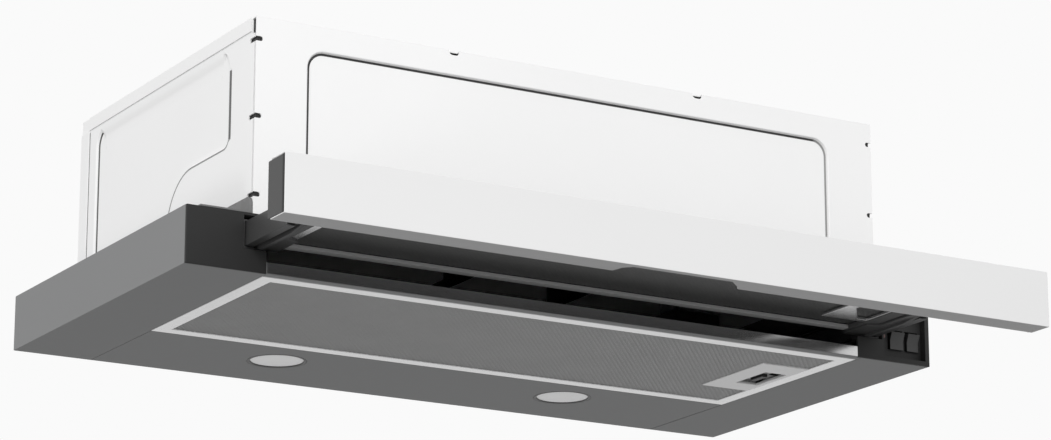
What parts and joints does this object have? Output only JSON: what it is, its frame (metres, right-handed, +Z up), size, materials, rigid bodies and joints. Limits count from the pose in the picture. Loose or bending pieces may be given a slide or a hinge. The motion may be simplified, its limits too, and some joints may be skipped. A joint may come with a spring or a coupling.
{
  "type": "under cabinet range hood",
  "caption": "Slim pull-out range hood: a flat base with grease filter, lamps and rocker switches, a front drawer with its own filter, and a box with blower and round outlet above.",
  "frame": {"origin": "under the middle of the hood's box at the level of its underside, with the drawer pulled out", "axes": "+Z up, +X to the user's right, -Y towards the user"},
  "size_m": [0.6, 0.432, 0.208],
  "materials": {
    "casing_white": "smooth near-white satin coat over pressed sheet",
    "base_grey": "mid-grey satin coat over folded sheet",
    "front_lip": "smooth bright steel that mirrors what is near",
    "panel_steel": "fine lengthwise brushing, soft sheen",
    "block_plastic": "fine-grained near-black plastic",
    "cap_grey": "fine-grained dark grey plastic",
    "carrier_grey": "mid-grey satin coat",
    "arm_grey": "dark grey satin coat",
    "strap_black": "black coat",
    "bracket_zinc": "dull zinc-grey coat",
    "rail_zinc": "dull dark zinc plate",
    "lamp_ring": "dark ring with a slight shine",
    "lamp_glass": "frosted translucent diffuser",
    "lamp_can": "plain cast",
    "driver_case": "plain white moulding",
    "blower_plastic": "moulded black",
    "wheel_plastic": "moulded dark grey",
    "motor_steel": "rolled and laminated steel",
    "shaft_steel": "ground steel",
    "capacitor_shell": "drawn can",
    "terminal_plastic": "plain black moulding",
    "collar_plastic": "moulded black",
    "switch_black": "moulded black",
    "rocker_grey": "fine-grained dark grey plastic",
    "pilot_red": "small clear dome, unlit",
    "screw_zinc": "bright zinc plate",
    "filter_edge": "bright rolled edge, lightly satin",
    "filter_wire": "layered expanded mesh, dull",
    "drawer_wire": "layered expanded mesh, dull and darker",
    "latch_pale": "flat satin plate",
    "latch_black": "smooth black moulding",
    "spring_steel": "bright spring strip",
    "drawer_top_zinc": "dull zinc-grey coat"
  },
  "bodies": {
    "housing": {"left_side_member": "base_grey", "right_side_member": "base_grey", "front_rail": "front_lip", "back_wall": "base_grey", "base_top_plate": "base_grey", "light_panel": "base_grey", "left_end_block": "block_plastic", "control_block": "block_plastic", "casing_front": "casing_white", "casing_left": "casing_white", "casing_right": "casing_white", "casing_back": "casing_white", "casing_top": "casing_white", "left_bracket": "bracket_zinc", "right_bracket": "bracket_zinc", "left_outer_rail": "rail_zinc", "right_outer_rail": "rail_zinc", "lamp_bezels": "lamp_ring", "lamp_lenses": "lamp_glass", "lamp_housings": "lamp_can", "led_driver": "driver_case", "left_volute": "blower_plastic", "right_volute": "blower_plastic", "plenum": "blower_plastic", "motor_stator": "motor_steel", "motor_bracket": "strap_black", "capacitor": "capacitor_shell", "terminal_box": "terminal_plastic", "cable_gland": "terminal_plastic", "outlet_collar": "collar_plastic", "damper_pin": "shaft_steel", "switch_bodies": "switch_black", "pilot_lamp": "pilot_red", "screws": "screw_zinc"},
    "drawer": {"drawer_front": "panel_steel", "left_end_cap": "cap_grey", "right_end_cap": "cap_grey", "drawer_carrier": "carrier_grey", "grip_insert": "arm_grey", "left_arm": "arm_grey", "right_arm": "arm_grey", "left_inner_rail": "rail_zinc", "right_inner_rail": "rail_zinc", "drawer_filter_frame": "filter_edge", "drawer_filter_mesh": "drawer_wire", "drawer_top_plate": "drawer_top_zinc"},
    "left_middle_member": {"left_mid_rail": "rail_zinc"},
    "right_middle_member": {"right_mid_rail": "rail_zinc"},
    "grease_filter": {"filter_frame": "filter_edge", "filter_mesh": "filter_wire", "latch_plate": "latch_pale", "latch_spring": "spring_steel"},
    "filter_latch": {"latch_slider": "latch_black"},
    "blower_wheels": {"motor_rotor": "shaft_steel", "left_impeller": "wheel_plastic", "right_impeller": "wheel_plastic"},
    "rear_damper": {"rear_flap": "collar_plastic"},
    "front_damper": {"front_flap": "collar_plastic"},
    "speed_switch": {"speed_rocker": "rocker_grey"},
    "light_switch": {"light_rocker": "rocker_grey"}
  },
  "joints": [
    {"name": "drawer_slide", "type": "slide", "parent": "housing", "child": "drawer", "axis": [0, 1, 0], "range_m": [0, 0.1175]},
    {"name": "left_rail_slide", "type": "slide", "parent": "housing", "child": "left_middle_member", "axis": [0, 1, 0], "range_m": [0, 0.061]},
    {"name": "right_rail_slide", "type": "slide", "parent": "housing", "child": "right_middle_member", "axis": [0, 1, 0], "range_m": [0, 0.061]},
    {"name": "filter_tilt", "type": "hinge", "parent": "housing", "child": "grease_filter", "pos_m": [-0.2402, 0.023, 0.0004], "axis": [0, 1, 0], "range_deg": [0, 70]},
    {"name": "latch_slide", "type": "slide", "parent": "grease_filter", "child": "filter_latch", "axis": [-1, 0, 0], "range_m": [0, 0.0055], "stiffness_N_per_m": 400, "springref_m": -0.003, "deforming": ["latch_spring"]},
    {"name": "rotor_spin", "type": "hinge", "parent": "housing", "child": "blower_wheels", "pos_m": [0, 0.011, 0.108], "axis": [1, 0, 0], "continuous": true},
    {"name": "rear_flap_hinge", "type": "hinge", "parent": "housing", "child": "rear_damper", "pos_m": [0, 0.138, 0.188], "axis": [1, 0, 0], "range_deg": [0, 75]},
    {"name": "front_flap_hinge", "type": "hinge", "parent": "housing", "child": "front_damper", "pos_m": [0, 0.138, 0.188], "axis": [-1, 0, 0], "range_deg": [0, 75]},
    {"name": "speed_rocker_hinge", "type": "hinge", "parent": "housing", "child": "speed_switch", "pos_m": [0.27375, -0.065, 0.018], "axis": [-1, 0, 0], "range_deg": [0, 22]},
    {"name": "light_rocker_hinge", "type": "hinge", "parent": "housing", "child": "light_switch", "pos_m": [0.288, -0.065, 0.018], "axis": [-1, 0, 0], "range_deg": [0, 22]}
  ],
  "couplings": [
    {"joint": "left_rail_slide", "follows": "drawer_slide", "ratio": 0.5},
    {"joint": "right_rail_slide", "follows": "drawer_slide", "ratio": 0.5}
  ]
}
